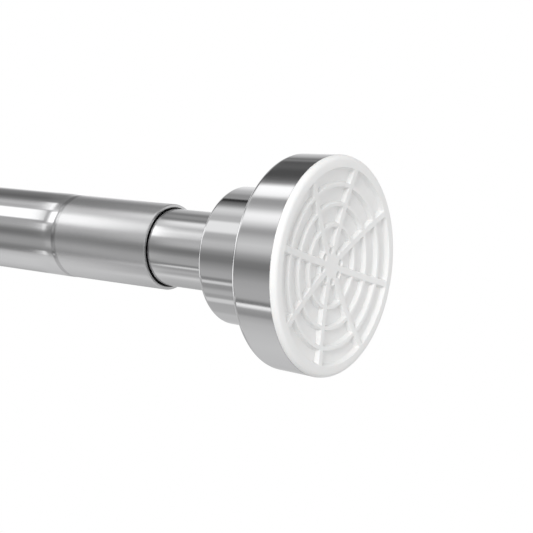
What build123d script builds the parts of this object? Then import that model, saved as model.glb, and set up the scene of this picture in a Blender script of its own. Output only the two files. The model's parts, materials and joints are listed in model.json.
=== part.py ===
from build123d import *
import math
import os

# Spring tension rod, in millimetres: two telescoping stainless tubes with a twist lock and a
# compression spring inside, and a two-tier capped rubber pad on each end.
# The rod's axis is X. The origin is the centre of the wall face of the fixed end's pad,
# and the sliding end points along +X. Cap pieces are drawn from their own wall face inwards.

# Whole rod
extension_travel = 190.0       # how far the inner tube pulls out of the outer one
least_overlap = 49.6           # inner tube left in the outer one when drawn right out
spring_travel = 20.0           # how far the inner tube gives under load

# Tubes
outer_tube_diameter = 25.0
outer_tube_wall = 0.6
tube_step = 1.5                # between the outer surfaces of the two tubes
inner_tube_wall = 0.6
swage_length = 34.9            # from the foot of the shoulder to the mouth
swage_taper = 0.1              # radius lost along that length
swage_shoulder_length = 4.5
swage_drop = 0.15              # radius lost in the shoulder
swage_roll_length = 5.0        # raised roll just behind the shoulder
swage_roll_height = 0.07
mouth_edge_round = 0.4
exposed_inner_length = 24.1    # inner tube showing between mouth and cap at rest

# Mouth bushing
bushing_length = 24.0
bushing_recess = 0.5           # its front face inside the tube's mouth
bushing_seat_gap = 0.02

# End caps: a cup over the pad and a collar over the tube, drawn from one sheet
cup_front_diameter = 57.9
cup_back_diameter = 57.3
cup_back = 13.7                # wall face to the cup's back
collar_diameter = 38.0
collar_taper = 0.15
collar_back = 32.0             # wall face to the collar's back
cover_wall = 0.6
cup_round = 1.5
collar_round = 1.3
step_round = 0.8
cover_tube_gap = 0.15

# Rubber pads with a web of ridges in a dished face
pad_flush_inset = 0.05         # pad's edge inside the cup's edge
pad_flange = 1.55
pad_edge_round = 1.4
pad_thickness = 5.0
pad_plug_gap = 0.1
dish_diameter = 51.4
dish_depth = 2.2               # hub below the edge of the dish
ridge_drop = 0.1               # ridge tops below the rim, at the edge of the dish
ridge_height = 1.2
ring_width = 1.5
spoke_width = 2.0
spoke_round = 0.6
spoke_bite = 0.3               # how far the spokes run into the rim
hub_round = 0.45
hub_diameter = 11.2
web_ring_diameters = [42.6, 32.4, 21.6]
spoke_count = 8
first_spoke_angle = 34.5

# Moulded core inside each cap
core_flange_thickness = 3.0
core_gap = 0.15
core_skirt_wall = 1.8
core_sleeve_wall = 2.2
core_rib_count = 6
core_rib_thickness = 2.0
core_rib_depth = 4.0
tube_fit_gap = 0.08            # between a tube and the core around or inside it
spigot_length = 17.0
spigot_bore_diameter = 10.0
spigot_mouth_diameter = 14.0
spigot_taper_length = 8.0
spigot_slot_count = 4
spigot_slot_width = 1.6
spigot_slot_length = 12.0

# Core screw and the wedge that it draws into the spigot
screw_diameter = 5.0
screw_length = 23.0
screw_head_diameter = 9.2
screw_head_depth = 2.3
screw_recess_width = 1.0
screw_recess_depth = 1.2
screw_hole_gap = 0.2
wedge_length = 7.5
wedge_gap = 0.05
wedge_fin_width = 1.2
wedge_fin_reach = 1.6

# Twist lock: a slotted sleeve that grips the outer tube when the cone is drawn into it
running_gap = 0.08
lock_clearance = 5.0           # from the fixed end's screw tip to the spindle
sleeve_length = 32.0
sleeve_base_thickness = 6.0
sleeve_slot_count = 4
sleeve_slot_width = 2.4
sleeve_groove_count = 5
sleeve_groove_depth = 0.35
sleeve_groove_pitch = 3.6
sleeve_groove_width = 1.2
sleeve_bore_gap = 0.6
cone_length = 14.0
cone_small_diameter = 14.4
cone_slope = 0.18
lock_twist_degrees = 240.0     # turn that tightens the lock
lock_thread_lead = 3.0         # cone travel for each whole turn
cone_final_gap = 0.06
cone_overhang = 6.0            # part of the cone outside the sleeve at rest
cone_fin_width = 1.6
cone_fin_gap = 0.5

# Spindle, its clip and washer, and the piston that carries the spring
spindle_diameter = 8.0
spindle_lead_in = 4.0
clip_thickness = 0.8
clip_diameter = 13.0
clip_groove_depth = 0.8
clip_opening_degrees = 80.0
clip_cone_gap = 0.6
washer_thickness = 1.2
washer_diameter = 17.0
washer_gap = 0.1
shoulder_thickness = 3.0
hex_width = 9.0
hex_gap = 0.15
piston_seat_diameter = 8.4
piston_thickness = 5.0
piston_gap = 0.5
piston_bumper_gap = 0.3
stud_diameter = 6.0
stud_tip = 1.5
nut_width = 10.0
nut_thickness = 5.0
bore_seat_gap = 0.05

# Guide plug in the inner tube's end
take_up_margin = 2.0           # room left between plug and shoulder at full load
guide_flange_thickness = 3.0
guide_flange_gap = 0.25
guide_spigot_length = 16.0
guide_flute_count = 6
guide_flute_width = 3.0
guide_flute_depth = 1.2

# Spring and its stop
spring_length = 90.0
spring_wire_diameter = 1.8
spring_bore_gap = 1.1          # between the coils and the inner tube's bore
spring_turns = 14.0
spring_end_gap = 0.1
spring_washer_thickness = 1.2
stop_length = 14.0
stop_pin_diameter = 3.0
stop_pin_inset = 0.03

# Radii and stations that follow from the sizes above
outer_r = outer_tube_diameter / 2
outer_bore_r = outer_r - outer_tube_wall
swage_r = outer_r - swage_drop
mouth_r = swage_r - swage_taper
inner_r = outer_r - tube_step
inner_bore_r = inner_r - inner_tube_wall
tube_seat = pad_thickness + core_flange_thickness
cone_draw = lock_thread_lead * lock_twist_degrees / 360
spindle_x = pad_thickness + screw_length + lock_clearance
cone_x = spindle_x + spindle_lead_in
clip_x = cone_x - clip_cone_gap - clip_thickness
sleeve_x = cone_x + cone_overhang
sleeve_end_x = sleeve_x + sleeve_length
washer_x = sleeve_end_x + washer_gap
shoulder_x = washer_x + washer_thickness
hex_x = shoulder_x + shoulder_thickness
guide_x = hex_x + spring_travel + take_up_margin
inner_tube_x = guide_x + guide_flange_thickness
piston_x = inner_tube_x + guide_spigot_length + piston_bumper_gap
spring_x = piston_x + piston_thickness
stop_washer_x = spring_x + spring_length
stop_x = stop_washer_x + spring_washer_thickness
mouth_x = inner_tube_x + extension_travel + least_overlap
swage_x = mouth_x - swage_length
swage_shoulder_x = swage_x - swage_shoulder_length
closed_length = mouth_x + exposed_inner_length + collar_back


def profile(points, rounds=None):
    """Closed face through (x, radius) points, with the listed corners rounded."""
    face = make_face(Polyline(*points, close=True))
    for index, radius in (rounds or {}).items():
        corner = face.vertices().sort_by_distance((*points[index], 0))[0]
        face = fillet(corner, radius)
    return face


def turned(points, rounds=None):
    """Solid turned about X."""
    return revolve(profile(points, rounds), Axis.X, 360)


def ring(start, end, outer, inner=0.0):
    """Plain ring about X, or a rod when it has no inner radius."""
    return turned([(start, inner), (end, inner), (end, outer), (start, outer)])


def bar(start, end, width, height, centre_height=0.0):
    """Rectangular bar along X, with its middle at a height above the axis."""
    section = Plane.YZ.offset(start) * Pos(0, centre_height) * Rectangle(width, height)
    return extrude(section, end - start)


def hexagon(start, end, width_across_flats):
    """Hexagonal bar along X."""
    section = Plane.YZ.offset(start) * RegularPolygon(width_across_flats / 2, 6, major_radius=False)
    return extrude(section, end - start)


def around(shape, count, first_angle=0.0):
    """Copies of a shape, evenly turned about X."""
    return [Rot(first_angle + index * 360 / count, 0, 0) * shape for index in range(count)]


def mirrored_to_sliding_end(shape):
    """The same cap piece, facing the other way on the sliding end."""
    return Pos(closed_length, 0, 0) * mirror(shape, about=Plane.YZ)


# Tubes

def swaged_bore_r(x):
    """Bore radius of the swaged end, which tapers to the mouth."""
    return mouth_r - outer_tube_wall + (mouth_x - x) * swage_taper / swage_length


def make_outer_tube():
    """Tube with a raised roll, a soft shoulder and a swaged, slightly tapered end."""
    roll_x = swage_shoulder_x - swage_roll_length
    roll_middle = (swage_shoulder_x - swage_roll_length / 2, outer_r + swage_roll_height)
    roll_slope = 4 * swage_roll_height / swage_roll_length
    outline = [
        Line((tube_seat, outer_r), (roll_x, outer_r)),
        ThreePointArc((roll_x, outer_r), roll_middle, (swage_shoulder_x, outer_r)),
        Spline(
            (swage_shoulder_x, outer_r),
            (swage_x, swage_r),
            tangents=[(1, -roll_slope), (swage_length, -swage_taper)],
        ),
        Polyline(
            (swage_x, swage_r),
            (mouth_x, mouth_r),
            (mouth_x, swaged_bore_r(mouth_x)),
            (swage_x, swaged_bore_r(swage_x)),
            (swage_shoulder_x, outer_bore_r),
            (tube_seat, outer_bore_r),
            (tube_seat, outer_r),
        ),
    ]
    section = make_face(outline)
    mouth_edge = section.vertices().sort_by_distance((mouth_x, mouth_r, 0))[0]
    return revolve(fillet(mouth_edge, mouth_edge_round), Axis.X, 360)


def make_mouth_bushing():
    """Plain sleeve in the tapered mouth, which it can't slip out of."""
    front = mouth_x - bushing_recess
    back = front - bushing_length
    bore = inner_r + running_gap
    return turned([
        (back, bore),
        (front, bore),
        (front, swaged_bore_r(front) - bushing_seat_gap),
        (back, swaged_bore_r(back) - bushing_seat_gap),
    ])


def make_inner_tube():
    """Plain tube, cross drilled for the pin that holds the spring's stop."""
    tube = ring(inner_tube_x, closed_length - tube_seat, inner_r, inner_bore_r)
    drill = Pos(stop_x + stop_length / 2, 0, 0) * Cylinder(stop_pin_diameter / 2, 2 * outer_tube_diameter)
    return tube - drill


# End caps, drawn with their wall face at x = 0 and the rod towards +X

def cup_inner_r(x):
    """Inner radius of the cup's slightly tapered wall."""
    share = (x - pad_flange) / (cup_back - pad_flange)
    outer = cup_front_diameter + (cup_back_diameter - cup_front_diameter) * share
    return outer / 2 - cover_wall


def cup_clear_r(start, end):
    """Smallest inner radius of the cup between two stations."""
    return min(cup_inner_r(start), cup_inner_r(end))


def collar_inner_r():
    return collar_diameter / 2 - collar_taper - cover_wall


def make_cap_cover(tube_r):
    """Two-tier cover drawn from one sheet: cup, back wall, collar and turned-in edge."""
    hole = tube_r + cover_tube_gap
    collar_r = collar_diameter / 2
    cup_front_r = cup_front_diameter / 2
    cup_back_r = cup_back_diameter / 2
    points = [
        (pad_flange, cup_front_r),
        (cup_back, cup_back_r),
        (cup_back, collar_r),
        (collar_back, collar_r - collar_taper),
        (collar_back, hole),
        (collar_back - cover_wall, hole),
        (collar_back - cover_wall, collar_inner_r()),
        (cup_back - cover_wall, collar_r - cover_wall),
        (cup_back - cover_wall, cup_back_r - cover_wall),
        (pad_flange, cup_front_r - cover_wall),
    ]
    rounds = {
        1: cup_round,
        2: step_round,
        3: collar_round,
        6: collar_round - cover_wall,
        7: step_round + cover_wall,
        8: cup_round - cover_wall,
    }
    return turned(points, rounds)


def make_cap_core(tube_r):
    """Moulded core: flange, skirt and ribs, a sleeve round the tube and a split spigot in it."""
    skirt_end = cup_back - cover_wall
    sleeve_end = collar_back - cover_wall
    flange_r = cup_clear_r(pad_thickness, tube_seat) - core_gap
    skirt_r = cup_clear_r(tube_seat, skirt_end) - cup_round
    sleeve_bore = tube_r + tube_fit_gap
    sleeve_r = sleeve_bore + core_sleeve_wall
    tube_bore_r = tube_r - (outer_tube_wall if tube_r == outer_r else inner_tube_wall)
    spigot_r = tube_bore_r - tube_fit_gap
    spigot_end = tube_seat + spigot_length
    head_r = screw_head_diameter / 2 + screw_hole_gap
    shank_r = screw_diameter / 2 + screw_hole_gap

    core = turned([
        (pad_thickness, head_r),
        (pad_thickness + screw_head_depth, shank_r),
        (tube_seat, shank_r),
        (tube_seat, flange_r),
        (pad_thickness, flange_r),
    ])
    core += ring(tube_seat, skirt_end, skirt_r, skirt_r - core_skirt_wall)
    core += ring(tube_seat, sleeve_end, sleeve_r, sleeve_bore)
    overlap = core_sleeve_wall / 2
    collar_reach = collar_inner_r() - core_gap
    skirt_reach = skirt_r - core_skirt_wall / 2
    for first, last, reach in (
        (tube_seat, sleeve_end - collar_round, collar_reach),
        (tube_seat, tube_seat + core_rib_depth, skirt_reach),
    ):
        length = reach - sleeve_r + overlap
        rib = bar(first, last, core_rib_thickness, length, reach - length / 2)
        core += around(rib, core_rib_count)
    spigot = turned([
        (tube_seat, spigot_bore_diameter / 2),
        (spigot_end - spigot_taper_length, spigot_bore_diameter / 2),
        (spigot_end, spigot_mouth_diameter / 2),
        (spigot_end, spigot_r),
        (tube_seat, spigot_r),
    ])
    slot = bar(spigot_end - spigot_slot_length, spigot_end, spigot_slot_width, tube_r, tube_r / 2)
    for cut in around(slot, spigot_slot_count):
        spigot -= cut
    return core + spigot


def make_core_screw():
    """Countersunk screw with a cross recess."""
    head_r = screw_head_diameter / 2
    shank_r = screw_diameter / 2
    screw = turned([
        (pad_thickness, 0),
        (pad_thickness + screw_length, 0),
        (pad_thickness + screw_length, shank_r),
        (pad_thickness + screw_head_depth, shank_r),
        (pad_thickness, head_r),
    ])
    slot = bar(pad_thickness, pad_thickness + screw_recess_depth, screw_recess_width, head_r)
    screw -= slot
    return screw - Rot(90, 0, 0) * slot


def make_core_wedge():
    """Conical nut that spreads the spigot, with fins in its slots so that it can't turn."""
    slope = (spigot_mouth_diameter - spigot_bore_diameter) / 2 / spigot_taper_length
    end = tube_seat + spigot_length
    start = end - wedge_length
    end_r = spigot_mouth_diameter / 2 - wedge_gap
    start_r = end_r - wedge_length * slope
    bore = screw_diameter / 2 + bore_seat_gap
    wedge = turned([(start, bore), (end, bore), (end, end_r), (start, start_r)])
    fin_length = wedge_fin_reach + wedge_length * slope
    fin = bar(start, end, wedge_fin_width, fin_length, end_r + wedge_fin_reach - fin_length / 2)
    return wedge + around(fin, spigot_slot_count)


def web_top(radius):
    """Depth of the ridge tops below the rim: the whole web follows a shallow dish."""
    return ridge_drop + dish_depth * (1 - (2 * radius / dish_diameter) ** 2)


def web_floor(radius):
    return web_top(radius) + ridge_height


def make_pad():
    """Moulded rubber pad: rounded flange, plug that fills the cup's mouth, and the dished web."""
    pad_r = cup_front_diameter / 2 - pad_flush_inset
    plug_r = cup_clear_r(pad_flange, pad_thickness) - pad_plug_gap
    dish_r = dish_diameter / 2
    hub_r = hub_diameter / 2
    half = ring_width / 2
    outline = [
        Line((0, dish_r), (0, pad_r - pad_edge_round)),
        RadiusArc((0, pad_r - pad_edge_round), (pad_edge_round, pad_r), pad_edge_round),
        Polyline(
            (pad_edge_round, pad_r),
            (pad_flange, pad_r),
            (pad_flange, plug_r),
            (pad_thickness, plug_r),
            (pad_thickness, 0),
            (web_top(0), 0),
            (web_top(0), hub_r - hub_round),
        ),
        RadiusArc((web_top(0), hub_r - hub_round), (web_top(0) + hub_round, hub_r), hub_round),
    ]
    last = (web_floor(hub_r), hub_r)
    outline.append(Line((web_top(0) + hub_round, hub_r), last))
    for diameter in reversed(web_ring_diameters):
        ring_r = diameter / 2
        foot = (web_floor(ring_r - half), ring_r - half)
        head = (web_floor(ring_r + half), ring_r + half)
        outline.append(Line(last, foot))
        outline.append(ThreePointArc(foot, (web_top(ring_r), ring_r), head))
        last = head
    outline.append(Polyline(last, (web_floor(dish_r), dish_r), (0, dish_r)))
    pad = revolve(make_face(outline), Axis.X, 360)

    root = pad_thickness - ridge_height
    inner, middle, outer = hub_r / 2, (hub_r / 2 + dish_r) / 2, dish_r + spoke_bite
    side = make_face([
        ThreePointArc((web_top(inner), inner), (web_top(middle), middle), (web_top(outer), outer)),
        Polyline((web_top(outer), outer), (root, outer), (root, inner), (web_top(inner), inner)),
    ])
    spoke = extrude(side, spoke_width / 2, both=True)
    top_edges = spoke.edges().filter_by(GeomType.CIRCLE)
    spoke = fillet(top_edges, spoke_round)
    # the spokes are drawn along +Y, where their angles are counted from
    return pad + around(spoke, spoke_count, first_spoke_angle)


# Twist lock

def cone_r(x):
    """Cone radius at rest: the large end is outside the sleeve."""
    return cone_small_diameter / 2 + (cone_x + cone_length - x) * cone_slope


def make_lock_sleeve():
    """Slotted sleeve with a tapered mouth and gripping grooves, on a solid base with a bearing bore."""
    radial_gap = cone_draw * cone_slope + cone_final_gap
    sleeve_r = outer_bore_r - running_gap
    taper_end = cone_x + cone_length + cone_draw + sleeve_bore_gap
    base_x = sleeve_end_x - sleeve_base_thickness
    sleeve = turned([
        (sleeve_x, cone_r(sleeve_x) + radial_gap),
        (taper_end, cone_r(taper_end) + radial_gap),
        (base_x, cone_r(taper_end) + radial_gap),
        (base_x, spindle_diameter / 2 + running_gap),
        (sleeve_end_x, spindle_diameter / 2 + running_gap),
        (sleeve_end_x, sleeve_r),
        (sleeve_x, sleeve_r),
    ])
    for index in range(sleeve_groove_count):
        start = sleeve_x + (index + 1) * sleeve_groove_pitch - sleeve_groove_width / 2
        sleeve -= ring(start, start + sleeve_groove_width, outer_bore_r, sleeve_r - sleeve_groove_depth)
    slot = bar(sleeve_x, base_x, sleeve_slot_width, outer_r, outer_r / 2)
    for cut in around(slot, sleeve_slot_count):
        sleeve -= cut
    return sleeve


def make_lock_cone():
    """Cone with a threaded bore and fins that slide in the sleeve's slots."""
    end = cone_x + cone_length
    bore = spindle_diameter / 2 + running_gap
    cone = turned([(cone_x, bore), (end, bore), (end, cone_r(end)), (cone_x, cone_r(cone_x))])
    reach = outer_bore_r - cone_fin_gap
    length = reach - cone_small_diameter / 2 + cone_fin_gap
    fin = bar(cone_x, end, cone_fin_width, length, reach - length / 2)
    return cone + around(fin, sleeve_slot_count)


def make_spindle():
    """One bar: clip groove, threaded length, shoulder, hexagon, piston seat and stud."""
    spindle_r = spindle_diameter / 2
    seat_r = piston_seat_diameter / 2
    stud_end = spring_x + nut_thickness + stud_tip
    spindle = ring(spindle_x, shoulder_x, spindle_r)
    spindle -= ring(clip_x, clip_x + clip_thickness, spindle_diameter, spindle_r - clip_groove_depth)
    spindle += ring(shoulder_x, hex_x, washer_diameter / 2)
    spindle += hexagon(hex_x, piston_x, hex_width)
    spindle += ring(piston_x, spring_x, seat_r)
    return spindle + ring(spring_x, stud_end, stud_diameter / 2)


def make_spindle_clip():
    """Open retaining clip in the spindle's groove, on the far side of the cone."""
    groove_r = spindle_diameter / 2 - clip_groove_depth
    clip = ring(clip_x, clip_x + clip_thickness, clip_diameter / 2, groove_r + bore_seat_gap)
    half_opening = clip_diameter * math.tan(math.radians(clip_opening_degrees / 2))
    wedge = make_face(Plane.YZ.offset(clip_x) * Polyline(
        (0, 0),
        (clip_diameter, half_opening),
        (clip_diameter, -half_opening),
        close=True,
    ))
    return clip - extrude(wedge, clip_thickness)


def make_thrust_washer():
    bore = spindle_diameter / 2 + bore_seat_gap
    return ring(washer_x, shoulder_x, washer_diameter / 2, bore)


def make_spring_piston():
    """Piston that the spring pushes against the hexagon's end."""
    radius = inner_bore_r - piston_gap
    bore = piston_seat_diameter / 2 + bore_seat_gap
    return ring(piston_x, spring_x, radius, bore)


def make_piston_nut():
    nut = hexagon(spring_x, spring_x + nut_thickness, nut_width)
    hole = ring(spring_x, spring_x + nut_thickness, stud_diameter / 2 + bore_seat_gap)
    return nut - hole


# Inner tube's own fittings

def make_guide_plug():
    """Plug that centres the inner tube in the outer one and turns the spindle by its hexagon."""
    end = inner_tube_x + guide_spigot_length
    plug = ring(guide_x, inner_tube_x, outer_bore_r - guide_flange_gap)
    plug += ring(inner_tube_x, end, inner_bore_r - bore_seat_gap)
    plug -= hexagon(guide_x, end, hex_width + 2 * hex_gap)
    flute = bar(inner_tube_x, end, guide_flute_width, 2 * guide_flute_depth, inner_bore_r)
    for cut in around(flute, guide_flute_count, 180 / guide_flute_count):
        plug -= cut
    return plug


def make_compression_spring():
    """Round wire helix between the piston and the stop's washer."""
    wire_r = spring_wire_diameter / 2
    mean_r = inner_bore_r - spring_bore_gap - wire_r
    height = spring_length - 2 * (wire_r + spring_end_gap)
    path = Helix(height / spring_turns, height, mean_r)
    start = path @ 0
    section = Plane(origin=start, z_dir=path % 0) * Circle(wire_r)
    coil = sweep(section, path, is_frenet=True)
    return Pos(spring_x + wire_r + spring_end_gap, 0, 0) * Rot(0, 90, 0) * coil


def make_spring_washer():
    radius = inner_bore_r - piston_gap
    return ring(stop_washer_x, stop_x, radius, stud_diameter / 2)


def make_spring_stop():
    """Plug that takes the spring's load into the inner tube through its cross pin."""
    plug = ring(stop_x, stop_x + stop_length, inner_bore_r - bore_seat_gap, stud_diameter / 2)
    drill = Pos(stop_x + stop_length / 2, 0, 0) * Cylinder(stop_pin_diameter / 2, outer_tube_diameter)
    return plug - drill


def make_stop_pin():
    """Flush cross pin."""
    length = 2 * (inner_r - stop_pin_inset) - inner_tube_wall
    radius = stop_pin_diameter / 2 - bore_seat_gap
    return Pos(stop_x + stop_length / 2, 0, 0) * Cylinder(radius, length)


pieces = {
    "outer_tube": make_outer_tube(),
    "mouth_bushing": make_mouth_bushing(),
    "inner_tube": make_inner_tube(),
    "lock_sleeve": make_lock_sleeve(),
    "lock_cone": make_lock_cone(),
    "spindle": make_spindle(),
    "spindle_clip": make_spindle_clip(),
    "thrust_washer": make_thrust_washer(),
    "spring_piston": make_spring_piston(),
    "piston_nut": make_piston_nut(),
    "guide_plug": make_guide_plug(),
    "compression_spring": make_compression_spring(),
    "spring_washer": make_spring_washer(),
    "spring_stop": make_spring_stop(),
    "stop_pin": make_stop_pin(),
    "fixed_cap_cover": make_cap_cover(outer_r),
    "fixed_cap_core": make_cap_core(outer_r),
    "fixed_core_screw": make_core_screw(),
    "fixed_core_wedge": make_core_wedge(),
    "fixed_pad": make_pad(),
    "sliding_cap_cover": mirrored_to_sliding_end(make_cap_cover(inner_r)),
    "sliding_cap_core": mirrored_to_sliding_end(make_cap_core(inner_r)),
    "sliding_core_screw": mirrored_to_sliding_end(make_core_screw()),
    "sliding_core_wedge": mirrored_to_sliding_end(make_core_wedge()),
    "sliding_pad": mirrored_to_sliding_end(make_pad()),
}

os.makedirs("parts", exist_ok=True)
for name, piece in pieces.items():
    export_step(piece, f"parts/{name}.step")
    print(name, round(piece.volume, 1), "mm3,", len(piece.solids()), "solid")
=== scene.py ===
"""Looks of the spring tension rod: stainless tubes and caps, white rubber pads with a web relief,
black bushing. Everything is in metres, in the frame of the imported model."""
import json
import math

import bpy
import bmesh
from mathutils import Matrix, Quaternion, Vector


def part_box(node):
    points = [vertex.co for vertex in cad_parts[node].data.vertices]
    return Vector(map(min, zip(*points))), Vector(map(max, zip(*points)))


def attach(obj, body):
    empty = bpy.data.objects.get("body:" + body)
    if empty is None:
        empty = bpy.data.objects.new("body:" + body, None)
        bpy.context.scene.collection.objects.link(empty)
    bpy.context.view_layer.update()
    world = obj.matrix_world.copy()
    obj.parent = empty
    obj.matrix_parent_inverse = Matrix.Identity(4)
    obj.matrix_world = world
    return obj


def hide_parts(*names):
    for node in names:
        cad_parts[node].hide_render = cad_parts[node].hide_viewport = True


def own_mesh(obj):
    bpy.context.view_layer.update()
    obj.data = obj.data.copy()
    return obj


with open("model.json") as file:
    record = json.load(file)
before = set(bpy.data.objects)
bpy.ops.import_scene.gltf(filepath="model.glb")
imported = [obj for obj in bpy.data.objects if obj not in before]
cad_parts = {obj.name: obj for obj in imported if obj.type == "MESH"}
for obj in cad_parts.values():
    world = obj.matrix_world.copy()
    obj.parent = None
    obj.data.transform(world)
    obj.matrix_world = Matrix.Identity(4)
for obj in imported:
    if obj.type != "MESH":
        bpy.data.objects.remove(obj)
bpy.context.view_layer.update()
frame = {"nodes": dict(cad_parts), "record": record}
scene = bpy.context.scene
MM = 0.001

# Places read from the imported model
FIXED_FACE_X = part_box("fixed_pad")[0].x
SLIDING_FACE_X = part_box("sliding_pad")[1].x
PAD_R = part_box("sliding_pad")[1].z
PAD_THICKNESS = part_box("fixed_pad")[1].x - FIXED_FACE_X
PAD_FLANGE = SLIDING_FACE_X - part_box("sliding_cap_cover")[1].x
MOUTH_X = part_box("outer_tube")[1].x
SWAGE_LENGTH = 34.9 * MM
SWAGE_LINE_X = MOUTH_X - SWAGE_LENGTH


# Shader nodes

def new_material(name):
    """Node material and its Principled shader."""
    material = bpy.data.materials.new(name)
    material.use_nodes = True
    tree = material.node_tree
    return material, tree, tree.nodes["Principled BSDF"]


def node(tree, kind, **settings):
    """New shader node with its properties and unlinked inputs set by name."""
    made = tree.nodes.new(kind)
    for key, value in settings.items():
        if key in made.inputs:
            made.inputs[key].default_value = value
        else:
            setattr(made, key, value)
    return made


def math_node(tree, operation, *values):
    """Math node fed by sockets or plain numbers. Returns its result."""
    made = node(tree, "ShaderNodeMath", operation=operation)
    for socket, value in zip(made.inputs, values):
        if isinstance(value, (int, float)):
            socket.default_value = value
        else:
            tree.links.new(value, socket)
    return made.outputs[0]


def map_range(tree, value, source, target, interpolation="LINEAR"):
    """Value carried from one (low, high) range to another and kept within it."""
    made = node(tree, "ShaderNodeMapRange", interpolation_type=interpolation)
    for key, limit in zip(("From Min", "From Max", "To Min", "To Max"), (*source, *target)):
        made.inputs[key].default_value = limit
    tree.links.new(value, made.inputs["Value"])
    return made.outputs["Result"]


def mix_values(tree, share, first, second):
    """Float mix of two values, each a socket or a plain number."""
    made = node(tree, "ShaderNodeMix")
    tree.links.new(share, made.inputs["Factor"])
    for key, value in (("A", first), ("B", second)):
        if isinstance(value, (int, float)):
            made.inputs[key].default_value = value
        else:
            tree.links.new(value, made.inputs[key])
    return made.outputs["Result"]


def object_position(tree, scale=(1, 1, 1)):
    """Object coordinates, scaled. On every piece they are metres in the model's frame."""
    coordinates = node(tree, "ShaderNodeTexCoord")
    mapping = node(tree, "ShaderNodeMapping", Scale=scale)
    tree.links.new(coordinates.outputs["Object"], mapping.inputs["Vector"])
    return mapping.outputs["Vector"]


def noise(tree, position, scale, detail, roughness=0.5):
    made = node(tree, "ShaderNodeTexNoise", Scale=scale, Detail=detail, Roughness=roughness)
    tree.links.new(position, made.inputs["Vector"])
    return made.outputs["Fac"]


def add_bump(tree, shader, height, strength, distance):
    bump = node(tree, "ShaderNodeBump", Strength=strength, Distance=distance)
    tree.links.new(height, bump.inputs["Height"])
    tree.links.new(bump.outputs["Normal"], shader.inputs["Normal"])


# Finishes

STEEL = (0.56, 0.56, 0.565)
STEEL_EDGE = (0.78, 0.78, 0.785, 1)     # tint of its reflections at grazing angles
ALONG_ROD = (60, 1600, 1600)            # scale of polishing lines that run along the rod
ROUND_ROD = (5200, 25, 25)              # scale of lines that run round it
POLISH_DEPTH = 3e-7
POLISHED = 0.07                         # roughness of the tube
SATIN = 0.24                            # roughness of its swaged end
SATIN_EDGE = 0.5 * MM
UNEVEN_LOW = 0.85                       # roughness follows the lines, from this share of itself
UNEVEN_SPREAD = 0.3                     # to this much more
# painted shade in the crease of the shoulder: the steel's colour is darkened in a thin ring round
# CREASE_X
CREASE_X = SWAGE_LINE_X - 0.3 * MM
CREASE_SHADE_CORE = 0.48 * MM
CREASE_SHADE_HALF = 1.2 * MM
CREASE_PAINTED_SHADE = 0.74
RUBBER = (0.86, 0.86, 0.855)
MOTTLE_DARK = 0.975
MOTTLE_SCALE = 180.0
RUBBER_GRAIN_SCALE = 2600.0
RUBBER_GRAIN_DEPTH = 6e-6
PLASTIC_GRAIN_SCALE = 1500.0
PLASTIC_GRAIN_DEPTH = 3e-5
PLASTIC_UNEVEN = 0.06


def bare_steel(name, colour, streak_scale, streak_depth):
    """Metal with fine polishing lines along the stretched axis of streak_scale. Returns the lines too."""
    material, tree, shader = new_material(name)
    shader.inputs["Base Color"].default_value = (*colour, 1)
    shader.inputs["Metallic"].default_value = 1.0
    shader.inputs["Specular Tint"].default_value = STEEL_EDGE
    streaks = noise(tree, object_position(tree, streak_scale), 1.0, 4.0, 0.6)
    add_bump(tree, shader, streaks, 1.0, streak_depth)
    return material, tree, shader, streaks


def steel(name, colour, roughness, streak_scale, streak_depth, uneven=0.03):
    """Steel whose roughness varies a little with its polishing lines."""
    material, tree, shader, streaks = bare_steel(name, colour, streak_scale, streak_depth)
    varied = map_range(tree, streaks, (0.0, 1.0), (roughness - uneven, roughness + uneven))
    tree.links.new(varied, shader.inputs["Roughness"])
    return material


def outer_tube_steel():
    """Polished tube whose swaged end is satin, with painted shade in the crease of the shoulder: a thin
    ring of darker steel colour.
    """
    material, tree, shader, streaks = bare_steel("outer_tube_steel", STEEL, ALONG_ROD, POLISH_DEPTH)
    place = node(tree, "ShaderNodeSeparateXYZ")
    tree.links.new(object_position(tree), place.inputs[0])
    satin_edge = (SWAGE_LINE_X - SATIN_EDGE, SWAGE_LINE_X + SATIN_EDGE)
    satin = map_range(tree, place.outputs["X"], satin_edge, (POLISHED, SATIN), "SMOOTHSTEP")
    uneven = math_node(tree, "MULTIPLY_ADD", streaks, UNEVEN_SPREAD, UNEVEN_LOW)
    tree.links.new(math_node(tree, "MULTIPLY", satin, uneven), shader.inputs["Roughness"])
    # painted shade: the base colour is darker in a thin ring round the crease
    away = math_node(tree, "ABSOLUTE", math_node(tree, "SUBTRACT", place.outputs["X"], CREASE_X))
    clear_of_shade = map_range(tree, away, (CREASE_SHADE_CORE, CREASE_SHADE_HALF), (0.0, 1.0), "SMOOTHSTEP")
    colour = node(tree, "ShaderNodeMix", data_type="RGBA")
    tree.links.new(clear_of_shade, colour.inputs["Factor"])
    colour.inputs[6].default_value = (*[part * CREASE_PAINTED_SHADE for part in STEEL], 1)
    colour.inputs[7].default_value = (*STEEL, 1)
    tree.links.new(colour.outputs[2], shader.inputs["Base Color"])
    return material


def rubber(name, colour):
    """Moulded rubber: very slight mottling, fine grain and a little light let in."""
    material, tree, shader = new_material(name)
    shader.inputs["Roughness"].default_value = 0.5
    shader.inputs["Subsurface Weight"].default_value = 0.15
    shader.inputs["Subsurface Radius"].default_value = (0.0012, 0.001, 0.0009)
    position = object_position(tree)
    ramp = node(tree, "ShaderNodeValToRGB")
    ramp.color_ramp.elements[0].color = (*[part * MOTTLE_DARK for part in colour], 1)
    ramp.color_ramp.elements[1].color = (*colour, 1)
    tree.links.new(noise(tree, position, MOTTLE_SCALE, 3.0), ramp.inputs["Fac"])
    tree.links.new(ramp.outputs["Color"], shader.inputs["Base Color"])
    add_bump(tree, shader, noise(tree, position, RUBBER_GRAIN_SCALE, 2.0), 0.35, RUBBER_GRAIN_DEPTH)
    return material


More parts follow.
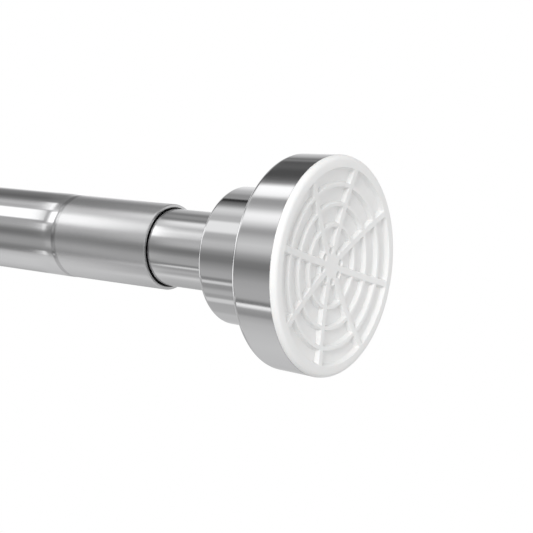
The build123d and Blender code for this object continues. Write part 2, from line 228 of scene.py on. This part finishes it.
def moulded_plastic(name, colour, roughness):
    """Injection-moulded plastic with a fine grain."""
    material, tree, shader = new_material(name)
    shader.inputs["Base Color"].default_value = (*colour, 1)
    grain = noise(tree, object_position(tree), PLASTIC_GRAIN_SCALE, 3.0)
    limits = (roughness - PLASTIC_UNEVEN, roughness + PLASTIC_UNEVEN)
    tree.links.new(map_range(tree, grain, (0.0, 1.0), limits), shader.inputs["Roughness"])
    add_bump(tree, shader, grain, 0.3, PLASTIC_GRAIN_DEPTH)
    return material


FINISHES = {
    "outer_tube": outer_tube_steel(),
    "inner_tube": steel("inner_tube_steel", STEEL, 0.09, ALONG_ROD, POLISH_DEPTH),
    "cap_steel": steel("cap_steel", STEEL, 0.08, ROUND_ROD, POLISH_DEPTH),
    "white_rubber": rubber("white_rubber", RUBBER),
    "black_nylon": moulded_plastic("black_nylon", (0.012, 0.012, 0.013), 0.4),
    "white_nylon": moulded_plastic("white_nylon", (0.78, 0.78, 0.75), 0.45),
    "zinc_steel": steel("zinc_steel", (0.52, 0.53, 0.55), 0.3, (300, 900, 900), 2e-6, 0.08),
    "spring_steel": steel("spring_steel", (0.30, 0.31, 0.33), 0.32, (900, 900, 900), 1e-6, 0.06),
}


def dress_cad_nodes():
    """Each shown CAD node gets the finish of its own name or of its slot."""
    slots = {row["node"]: row["material_slot"] for row in frame["record"]["subparts"]}
    for name, piece in frame["nodes"].items():
        finish = FINISHES.get(name) or FINISHES[slots[name]]
        for slot in piece.material_slots:
            slot.material = finish


# Mesh helpers

QUARTER_STEPS = 8


def quarter_bends():
    """Angles along a quarter round, both ends included."""
    return [math.pi / 2 * index / QUARTER_STEPS for index in range(QUARTER_STEPS + 1)]


def smooth_step(low, high, value):
    share = min(1.0, max(0.0, (value - low) / (high - low)))
    return share * share * (3 - 2 * share)


def join_rings(shape, rings):
    """Faces between each closed ring of points and the next."""
    for first, second in zip(rings, rings[1:]):
        for index in range(len(first)):
            after = (index + 1) % len(first)
            shape.faces.new((first[index], first[after], second[after], second[index]))


def finished_piece(name, shape, material, sharp_degrees):
    """Linked object of a bmesh, smooth but for its edges above an angle."""
    bmesh.ops.recalc_face_normals(shape, faces=shape.faces)
    mesh = bpy.data.meshes.new(name)
    shape.to_mesh(mesh)
    shape.free()
    mesh.shade_smooth()
    mesh.set_sharp_from_angle(angle=math.radians(sharp_degrees))
    mesh.materials.append(material)
    piece = bpy.data.objects.new(name, mesh)
    scene.collection.objects.link(piece)
    return piece


# Rubber pads

RIM_IN_R = 25.7 * MM
DISH_DEPTH = 2.2 * MM
WALL_FOOT_R = 25.25 * MM        # the wall of the dish rises from here
WALL_TOP_R = 25.85 * MM         # to the flat rim here
EDGE_ROUND = 1.4 * MM
RIDGE_DROP = 0.1 * MM
RIDGE_HEIGHT = 1.2 * MM
RIDGE_FOOT = 1.12               # where a ridge's side ends, in half widths
RING_RADII = [21.3 * MM, 16.2 * MM, 10.8 * MM]
RING_HALF = 0.75 * MM
RING_FLAT = 0.62                # flat share of a ring's half width
SPOKES = 8
FIRST_SPOKE = math.radians(34.5)
SPOKE_HALF = 1.12 * MM
SPOKE_FLAT = 0.74
HUB_R = 5.6 * MM
HUB_TOP_R = 5.2 * MM
HUB_FOOT_R = 5.8 * MM
DIMPLE_RING_R = 4.2 * MM
DIMPLE_FLOOR_R = 0.51 * MM
DIMPLE_EDGE_R = 1.02 * MM
DIMPLE_DEPTH = 1.0 * MM
FACE_STEP = 0.2 * MM            # between the rings of points on the web
FACE_REACH = 26.0 * MM
FACE_TURNS = 640
PLUG_INSET = 0.65 * MM
FLANGE_EDGE = 0.03 * MM


def ridge_share(offset, half, flat):
    """Height share across a ridge with a rounded top and drafted sides."""
    return 1 - smooth_step(flat, RIDGE_FOOT, abs(offset) / half)


def web_depth(radius, angle):
    """Depth of the pad's face below its rim."""
    dish = DISH_DEPTH * (1 - (radius / RIM_IN_R) ** 2)
    sector = 2 * math.pi / SPOKES
    from_spoke = (angle - FIRST_SPOKE + sector / 2) % sector - sector / 2
    rise = max(
        *[ridge_share(radius - ring, RING_HALF, RING_FLAT) for ring in RING_RADII],
        ridge_share(radius * math.sin(from_spoke), SPOKE_HALF, SPOKE_FLAT),
        1 - smooth_step(HUB_TOP_R, HUB_FOOT_R, radius),
    )
    depth = RIDGE_DROP + dish + RIDGE_HEIGHT * (1 - rise)
    if radius < HUB_R:
        turn = (angle - FIRST_SPOKE) % sector - sector / 2
        away = math.hypot(radius * math.cos(turn) - DIMPLE_RING_R, radius * math.sin(turn))
        depth += DIMPLE_DEPTH * (1 - smooth_step(DIMPLE_FLOOR_R, DIMPLE_EDGE_R, away))
    return depth * (1 - smooth_step(WALL_FOOT_R, WALL_TOP_R, radius))


def pad_stations():
    """(depth, radius) of each ring of points from hub to plug. The web's own depth shows as None."""
    flat_r = PAD_R - EDGE_ROUND
    plug_r = PAD_R - PLUG_INSET
    count = int(round(FACE_REACH / FACE_STEP))
    stations = [(None, FACE_STEP * (index + 1)) for index in range(count)]
    stations.append((0.0, (stations[-1][1] + flat_r) / 2))
    for bend in quarter_bends():
        stations.append((EDGE_ROUND * (1 - math.cos(bend)), flat_r + EDGE_ROUND * math.sin(bend)))
    return stations + [
        (PAD_FLANGE - FLANGE_EDGE, PAD_R),
        (PAD_FLANGE, PAD_R - FLANGE_EDGE),
        (PAD_FLANGE, plug_r),
        (PAD_THICKNESS, plug_r),
        (PAD_THICKNESS, plug_r * 0.5),
    ]


def pad_piece(name, face_x, inward):
    """Pad as one polar mesh: web, rim, rounded edge, flange back and plug."""
    shape = bmesh.new()
    centre = shape.verts.new((face_x + inward * web_depth(0.0, 0.0), 0, 0))
    rings = []
    for depth, radius in pad_stations():
        row = []
        for index in range(FACE_TURNS):
            angle = 2 * math.pi * index / FACE_TURNS
            inset = web_depth(radius, angle) if depth is None else depth
            row.append(shape.verts.new((
                face_x + inward * inset,
                radius * math.cos(angle),
                radius * math.sin(angle),
            )))
        rings.append(row)
    join_rings(shape, rings)
    back = shape.verts.new((face_x + inward * PAD_THICKNESS, 0, 0))
    for index in range(FACE_TURNS):
        after = (index + 1) % FACE_TURNS
        shape.faces.new((centre, rings[0][index], rings[0][after]))
        shape.faces.new((back, rings[-1][after], rings[-1][index]))
    return finished_piece(name, shape, FINISHES["white_rubber"], 50)


def add_pads():
    for end, face_x, inward, body in (
        ("fixed", FIXED_FACE_X, 1, "outer_tube_body"),
        ("sliding", SLIDING_FACE_X, -1, "inner_tube_body"),
    ):
        piece = pad_piece(f"{end}_web_pad", face_x, inward)
        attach(piece, body)
        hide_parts(f"{end}_pad")


# Swaged outer tube

TUBE_R = 12.5 * MM
TUBE_WALL = 0.6 * MM
TUBE_TURNS = 256
SWAGED_R = 12.35 * MM
BORE_SLOPE_LENGTH = 4.5 * MM
MOUTH_R = 12.25 * MM
MOUTH_ROUND = 0.4 * MM
LIP_BORE_R = 11.42 * MM
LIP_DEPTH = 0.4 * MM
SHOULDER_STEP = 0.1 * MM
# slope of the shoulder at places given in mm from the swage line
SHOULDER_SLOPES = [(-5.4, 0.0), (-1.6, 0.019), (-0.8, 0.07), (-0.3, 0.07), (0.4, 0.0034)]


def shoulder_profile():
    """(x, radius) points down the outside of the shoulder, summed from its slopes."""
    points = []
    radius = TUBE_R
    for (start, first), (end, last) in zip(SHOULDER_SLOPES, SHOULDER_SLOPES[1:]):
        length = (end - start) * MM
        steps = int(round(length / SHOULDER_STEP))
        for index in range(steps):
            points.append((SWAGE_LINE_X + start * MM + length * index / steps, radius))
            slope = first + (last - first) * (index + 0.5) / steps
            radius -= slope * length / steps
    return points + [(SWAGE_LINE_X + SHOULDER_SLOPES[-1][0] * MM, radius)]


def turned_piece(name, profile, material):
    """Closed (x, radius) profile turned about the rod's axis."""
    shape = bmesh.new()
    rings = []
    for x, radius in profile:
        rings.append([
            shape.verts.new((
                x,
                radius * math.cos(2 * math.pi * index / TUBE_TURNS),
                radius * math.sin(2 * math.pi * index / TUBE_TURNS),
            ))
            for index in range(TUBE_TURNS)
        ])
    join_rings(shape, rings + rings[:1])
    return finished_piece(name, shape, material, 30)


def add_outer_tube():
    """Outer tube with a softly rolled shoulder, then the swaged mouth, its lip turned in a little."""
    seat_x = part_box("outer_tube")[0].x
    profile = [(seat_x, TUBE_R - TUBE_WALL), (seat_x, TUBE_R)] + shoulder_profile()
    for bend in quarter_bends():
        profile.append((
            MOUTH_X - MOUTH_ROUND + MOUTH_ROUND * math.sin(bend),
            MOUTH_R - MOUTH_ROUND + MOUTH_ROUND * math.cos(bend),
        ))
    profile += [
        (MOUTH_X, LIP_BORE_R),
        (MOUTH_X - LIP_DEPTH, LIP_BORE_R),
        (MOUTH_X - LIP_DEPTH, MOUTH_R - TUBE_WALL),
        (SWAGE_LINE_X, SWAGED_R - TUBE_WALL),
        (SWAGE_LINE_X - BORE_SLOPE_LENGTH, TUBE_R - TUBE_WALL),
    ]
    piece = turned_piece("swaged_tube", profile, FINISHES["outer_tube"])
    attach(piece, "outer_tube_body")
    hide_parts("outer_tube")


# Spring

WIRE_R = 0.9 * MM
WIRE_SIDES = 12
COILS = 14
COIL_STEPS = 32


def add_spring():
    """Round wire helix, carried with the inner tube's body."""
    low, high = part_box("compression_spring")
    mean_r = high.z - WIRE_R
    turned = 2 * math.pi * COILS
    along = (high.x - low.x - 2 * WIRE_R) / turned
    shape = bmesh.new()
    rings = []
    for step in range(COILS * COIL_STEPS + 1):
        angle = turned * step / (COILS * COIL_STEPS)
        out = Vector((0, math.sin(angle), -math.cos(angle)))
        centre = Vector((low.x + WIRE_R + along * angle, 0, 0)) + out * mean_r
        way = Vector((along, mean_r * math.cos(angle), mean_r * math.sin(angle))).normalized()
        side = way.cross(out)
        rings.append([
            shape.verts.new(centre + (out * math.cos(turn) + side * math.sin(turn)) * WIRE_R)
            for turn in (2 * math.pi * index / WIRE_SIDES for index in range(WIRE_SIDES))
        ])
    join_rings(shape, rings)
    shape.faces.new(rings[0])
    shape.faces.new(rings[-1])
    piece = finished_piece("spring_coils", shape, FINISHES["spring_steel"], 50)
    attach(piece, "inner_tube_body")
    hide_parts("compression_spring")
    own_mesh(piece)


# Tents of light, seen only in the steel's reflections. Each list is (degrees, level) round the rod:
# 0 is the camera's side, 90 overhead, 180 behind and -90 below. Straight lines join its points. The
# main strips are a pale floor, a dark room behind the camera, a lamp at about 35 to 65 degrees, a dark
# ceiling and a light wall behind. The wide tent has a stretch for the plain tube, the shoulder, the
# swaged mouth and the inner tube, and the narrow one has a stretch for the collar and for the cup.
TUBE_TENT = [
    (-180, 0.62), (-150, 0.66), (-134, 0.86), (-110, 1.0), (-84, 0.99), (-70, 0.86), (-65, 0.72),
    (-59, 0.40), (-52, 0.32), (-45, 0.37), (-36, 0.52), (-26, 0.53), (-19, 0.46), (-12, 0.33),
    (-5, 0.27), (2, 0.32), (15, 0.62), (33, 0.62), (36.5, 1.9), (64, 1.9), (67, 0.76), (74, 0.70),
    (82, 0.84), (88, 0.72), (95, 0.45), (102, 0.30), (112, 0.22), (138, 0.36), (147, 0.52),
    (154, 0.78), (162, 1.15), (180, 1.2),
]
SHOULDER_TENT = [
    (-180, 0.70), (-120, 0.95), (-70, 0.95), (-63, 0.90), (-61, 1.4), (-52, 1.3), (-49, 0.40),
    (-36, 0.52), (-24, 0.55), (-12, 0.36), (2, 0.40), (8, 0.9), (12, 1.5), (24, 1.5), (28, 0.60),
    (34, 0.40), (60, 0.42), (66, 0.60), (70, 1.9), (92, 1.9), (98, 0.40), (112, 0.30), (138, 0.38),
    (154, 0.80), (180, 1.2),
]
MOUTH_TENT = [
    (-180, 0.55), (-160, 0.58), (-140, 0.86), (-120, 0.94), (-84, 0.98), (-70, 0.90), (-60, 0.64),
    (-52, 0.38), (-44, 0.42), (-34, 0.68), (-24, 0.68), (-14, 0.42), (-6, 0.32), (4, 0.33),
    (14, 0.38), (23, 0.62), (29, 1.0), (33, 2.3), (60, 2.3), (65, 1.1), (74, 0.74), (94, 0.34),
    (122, 0.34), (134, 0.46), (146, 0.78), (158, 1.4), (180, 1.9),
]
INNER_TENT = [
    (-180, 0.62), (-150, 0.68), (-126, 0.76), (-106, 0.80), (-97, 0.92), (-91, 1.08), (-80, 0.63),
    (-76, 0.63), (-70, 0.72), (-62, 0.52), (-58, 0.56), (-56, 1.1), (-52.5, 1.1), (-50.5, 0.40),
    (-46, 0.38), (-43, 0.62), (-34, 0.60), (-24, 0.54), (-17, 0.38), (-8, 0.28), (-2, 0.31),
    (4, 0.46), (10, 0.70), (17, 0.76), (27, 0.70), (33, 0.84), (40, 1.12), (50, 1.28), (56, 0.98),
    (61, 0.84), (66, 0.90), (72, 1.2), (79, 1.45), (84, 1.3), (89, 0.66), (93, 0.40), (97, 0.34),
    (103, 0.48), (112, 0.48), (119, 0.34), (126, 0.42), (136, 0.70), (160, 0.98), (180, 1.0),
]
COLLAR_TENT = [
    (-180, 0.88), (-108, 0.88), (-102, 0.72), (-81, 0.66), (-78, 1.05), (-72.5, 1.05), (-70, 0.56),
    (-65, 0.56), (-62, 0.72), (-57, 0.70), (-52, 0.48), (-46, 0.48), (-44.5, 1.1), (-41.5, 1.1),
    (-40, 0.36), (-36.5, 0.36), (-34, 0.65), (-26, 0.62), (-16, 0.44), (-9, 0.30), (-2, 0.31),
    (5, 0.46), (12, 0.78), (18, 0.84), (25, 0.66), (32, 0.72), (36, 1.35), (51, 1.38), (54, 0.78),
    (62, 0.76), (68, 1.0), (74, 1.15), (78, 0.98), (83, 0.54), (87, 0.32), (92, 0.20), (95, 0.05),
    (99, 0.05), (101.5, 0.52), (108, 0.48), (113, 0.50), (119, 0.74), (128, 0.88), (137, 1.15),
    (145, 1.3), (156, 1.2), (180, 1.2),
]
CUP_TENT = [
    (-180, 0.70), (-150, 0.74), (-120, 0.94), (-90, 0.94), (-74, 0.88), (-62, 0.80), (-55, 0.66),
    (-52.5, 0.44), (-45.5, 0.56), (-44.5, 1.5), (-42, 1.5), (-41, 0.30), (-38.5, 0.30), (-36, 0.66),
    (-28, 0.66), (-20, 0.60), (-13, 0.42), (-7, 0.29), (-2, 0.31), (4, 0.55), (9, 0.88), (14, 1.0),
    (20, 0.82), (26, 0.54), (29, 0.60), (38, 1.45), (43, 1.62), (46, 1.35), (50, 0.82), (55, 0.56),
    (60, 0.52), (63, 1.1), (65, 1.6), (70, 1.78), (76, 1.78), (78, 1.1), (81, 0.40), (86, 0.20),
    (92, 0.13), (100, 0.13), (107, 0.19), (118, 0.16), (123, 0.40), (128, 0.28), (132, 0.58),
    (138, 0.82), (156, 1.1), (180, 1.2),
]
WIDE_TENT_RADIUS = 0.75
NARROW_TENT_RADIUS = 0.12
TENT_LENGTH = 3.6
# where the reflections change from one stretch to the next, on the tent
SHOULDER_FROM_X = -0.453
MOUTH_FROM_X = -0.417
INNER_FROM_X = -0.28
CUP_FROM_X = 0.310
STRETCH_EDGE = 0.001


def share_curve(tree, share, points):
    """Level of a tent's list at a share of a full turn, which starts at -180 degrees."""
    top = max(level for _, level in points)
    places = [((degrees + 180) / 360, level / top) for degrees, level in points]
    curve = node(tree, "ShaderNodeFloatCurve")
    line = curve.mapping.curves[0]
    for place in places[1:-1]:
        line.points.new(*place)
    line.points[0].location = places[0]
    line.points[-1].location = places[-1]
    for point in line.points:
        point.handle_type = "VECTOR"
    curve.mapping.update()
    tree.links.new(share, curve.inputs["Value"])
    return math_node(tree, "MULTIPLY", curve.outputs["Value"], top)


def tent_level(tree, first_stretch, later_stretches):
    """Light's strength by angle about the rod, with another list from each later stretch's x on."""
    geometry = node(tree, "ShaderNodeNewGeometry")
    split = node(tree, "ShaderNodeSeparateXYZ")
    tree.links.new(geometry.outputs["Position"], split.inputs[0])
    towards = math_node(tree, "MULTIPLY", split.outputs["Y"], -1.0)
    angle = math_node(tree, "ARCTAN2", split.outputs["Z"], towards)
    share = math_node(tree, "ADD", math_node(tree, "DIVIDE", angle, 2 * math.pi), 0.5)
    level = share_curve(tree, share, first_stretch)
    for from_x, strips in later_stretches:
        edge = (from_x - STRETCH_EDGE, from_x + STRETCH_EDGE)
        inside = map_range(tree, split.outputs["X"], edge, (0.0, 1.0), "SMOOTHSTEP")
        level = mix_values(tree, inside, level, share_curve(tree, share, strips))
    return level


def add_tent(name, radius, stretches, pieces, link_state, see_through):
    """Long tube of light and dark strips round the rod, seen only in the reflections of some pieces.
    A see-through tent adds its light and lets the rays of the other pieces pass."""
    bpy.ops.mesh.primitive_cylinder_add(
        vertices=128, radius=radius, depth=TENT_LENGTH, end_fill_type="NOTHING",
        rotation=(0, math.pi / 2, 0),
    )
    tent = bpy.context.object
    tent.name = name
    material = bpy.data.materials.new(name + "_strips")
    material.use_nodes = True
    tree = material.node_tree
    tree.nodes.clear()
    output = node(tree, "ShaderNodeOutputMaterial")
    light = node(tree, "ShaderNodeEmission")
    tree.links.new(tent_level(tree, stretches[0], stretches[1:]), light.inputs["Strength"])
    surface = light.outputs[0]
    if see_through:
        both = node(tree, "ShaderNodeAddShader")
        tree.links.new(surface, both.inputs[0])
        tree.links.new(node(tree, "ShaderNodeBsdfTransparent").outputs[0], both.inputs[1])
        surface = both.outputs[0]
    tree.links.new(surface, output.inputs["Surface"])
    tent.data.materials.append(material)
    for ray in ("camera", "diffuse", "transmission", "volume_scatter", "shadow"):
        setattr(tent, f"visible_{ray}", False)
    lit = bpy.data.collections.new(name + "_lit")
    for piece in pieces:
        lit.objects.link(piece)
    for entry in lit.collection_objects:
        entry.light_linking.link_state = link_state
    tent.light_linking.receiver_collection = lit


def add_tents():
    """The narrow tent lights only the cap covers, and the wide one everything else."""
    covers = [frame["nodes"][f"{end}_cap_cover"] for end in ("fixed", "sliding")]
    add_tent("narrow_tent", NARROW_TENT_RADIUS, [COLLAR_TENT, (CUP_FROM_X, CUP_TENT)],
             covers, "INCLUDE", True)
    add_tent("wide_tent", WIDE_TENT_RADIUS,
             [TUBE_TENT, (SHOULDER_FROM_X, SHOULDER_TENT), (MOUTH_FROM_X, MOUTH_TENT),
              (INNER_FROM_X, INNER_TENT)],
             covers, "EXCLUDE", False)


# Studio

AMBIENT_LOW = 0.28
AMBIENT_HIGH = 0.88
AMBIENT_FROM = Vector((0.75, 0.4, -0.2)).normalized()
FLOOR_DROP = 0.9
FLOOR_RADIUS = 1.3
FLOOR_COLOUR = (0.92, 0.92, 0.92, 1)
FLOOR_WHITE = 0.85                      # share of the floor that shows as plain white to the camera
KEY_FROM_PAD = Vector((0.11, -0.60, 0.25))
KEY_SIZE = (0.30, 0.30)
KEY_POWER = 3.1


def add_world():
    """White to the camera and in reflections. As a light it is softer, and weaker from the front left."""
    world = bpy.data.worlds.new("studio")
    scene.world = world
    world.use_nodes = True
    tree = world.node_tree
    direction = node(tree, "ShaderNodeTexCoord")
    facing = node(tree, "ShaderNodeVectorMath", operation="DOT_PRODUCT")
    tree.links.new(direction.outputs["Generated"], facing.inputs[0])
    facing.inputs[1].default_value = AMBIENT_FROM
    ambient = map_range(tree, facing.outputs["Value"], (-1.0, 1.0), (AMBIENT_LOW, AMBIENT_HIGH))
    path = node(tree, "ShaderNodeLightPath")
    seen = math_node(tree, "MAXIMUM", path.outputs["Is Camera Ray"], path.outputs["Is Glossy Ray"])
    seen = math_node(tree, "MAXIMUM", seen, path.outputs["Is Transmission Ray"])
    background = tree.nodes["Background"]
    background.inputs["Color"].default_value = (1, 1, 1, 1)
    tree.links.new(mix_values(tree, seen, ambient, 1.0), background.inputs["Strength"])


def add_floor():
    """Pale round floor, well below the hanging rod."""
    bpy.ops.mesh.primitive_circle_add(
        vertices=128, radius=FLOOR_RADIUS, fill_type="NGON",
        location=((FIXED_FACE_X + SLIDING_FACE_X) / 2, 0, -FLOOR_DROP),
    )
    floor = bpy.context.object
    floor.name = "floor"
    material, tree, shader = new_material("pale_floor")
    shader.inputs["Base Color"].default_value = FLOOR_COLOUR
    shader.inputs["Roughness"].default_value = 0.9
    white = node(tree, "ShaderNodeEmission")
    path = node(tree, "ShaderNodeLightPath")
    mixed = node(tree, "ShaderNodeMixShader")
    share = math_node(tree, "MULTIPLY", path.outputs["Is Camera Ray"], FLOOR_WHITE)
    tree.links.new(share, mixed.inputs["Fac"])
    tree.links.new(shader.outputs["BSDF"], mixed.inputs[1])
    tree.links.new(white.outputs["Emission"], mixed.inputs[2])
    tree.links.new(mixed.outputs["Shader"], tree.nodes["Material Output"].inputs["Surface"])
    floor.data.materials.append(material)


def add_key_lamp():
    """Soft lamp from the front left, which brings out the web. The steel doesn't reflect it."""
    data = bpy.data.lights.new("key", "AREA")
    data.shape = "RECTANGLE"
    data.size, data.size_y = KEY_SIZE
    data.energy = KEY_POWER
    lamp = bpy.data.objects.new("key", data)
    lamp.location = Vector((SLIDING_FACE_X, 0, 0)) + KEY_FROM_PAD
    lamp.rotation_euler = (-KEY_FROM_PAD).to_track_quat("-Z", "Y").to_euler()
    lamp.visible_glossy = False
    scene.collection.objects.link(lamp)


# Camera, placed from the photograph's perspective
CAMERA_FROM_PAD = Vector((161.93, -263.51, 16.76)) * MM
LOOK_ALONG = Vector((-0.57315, 0.81735, -0.05866))
ROLL = math.radians(4.78)
SENSOR = 36.0
FOCAL_PIXELS = 1199.0
PHOTO_WIDTH = 533


def add_camera():
    data = bpy.data.cameras.new("camera")
    data.sensor_width = SENSOR
    data.lens = FOCAL_PIXELS / PHOTO_WIDTH * SENSOR
    data.clip_start = 0.01
    camera = bpy.data.objects.new("camera", data)
    camera.location = Vector((SLIDING_FACE_X, 0, 0)) + CAMERA_FROM_PAD
    aim = LOOK_ALONG.to_track_quat("-Z", "Y") @ Quaternion((0, 0, 1), ROLL)
    camera.rotation_euler = aim.to_euler()
    scene.collection.objects.link(camera)
    scene.camera = camera


dress_cad_nodes()
add_pads()
add_outer_tube()
add_spring()
add_world()
add_floor()
add_tents()
add_key_lamp()
add_camera()
scene.view_settings.view_transform = "Standard"
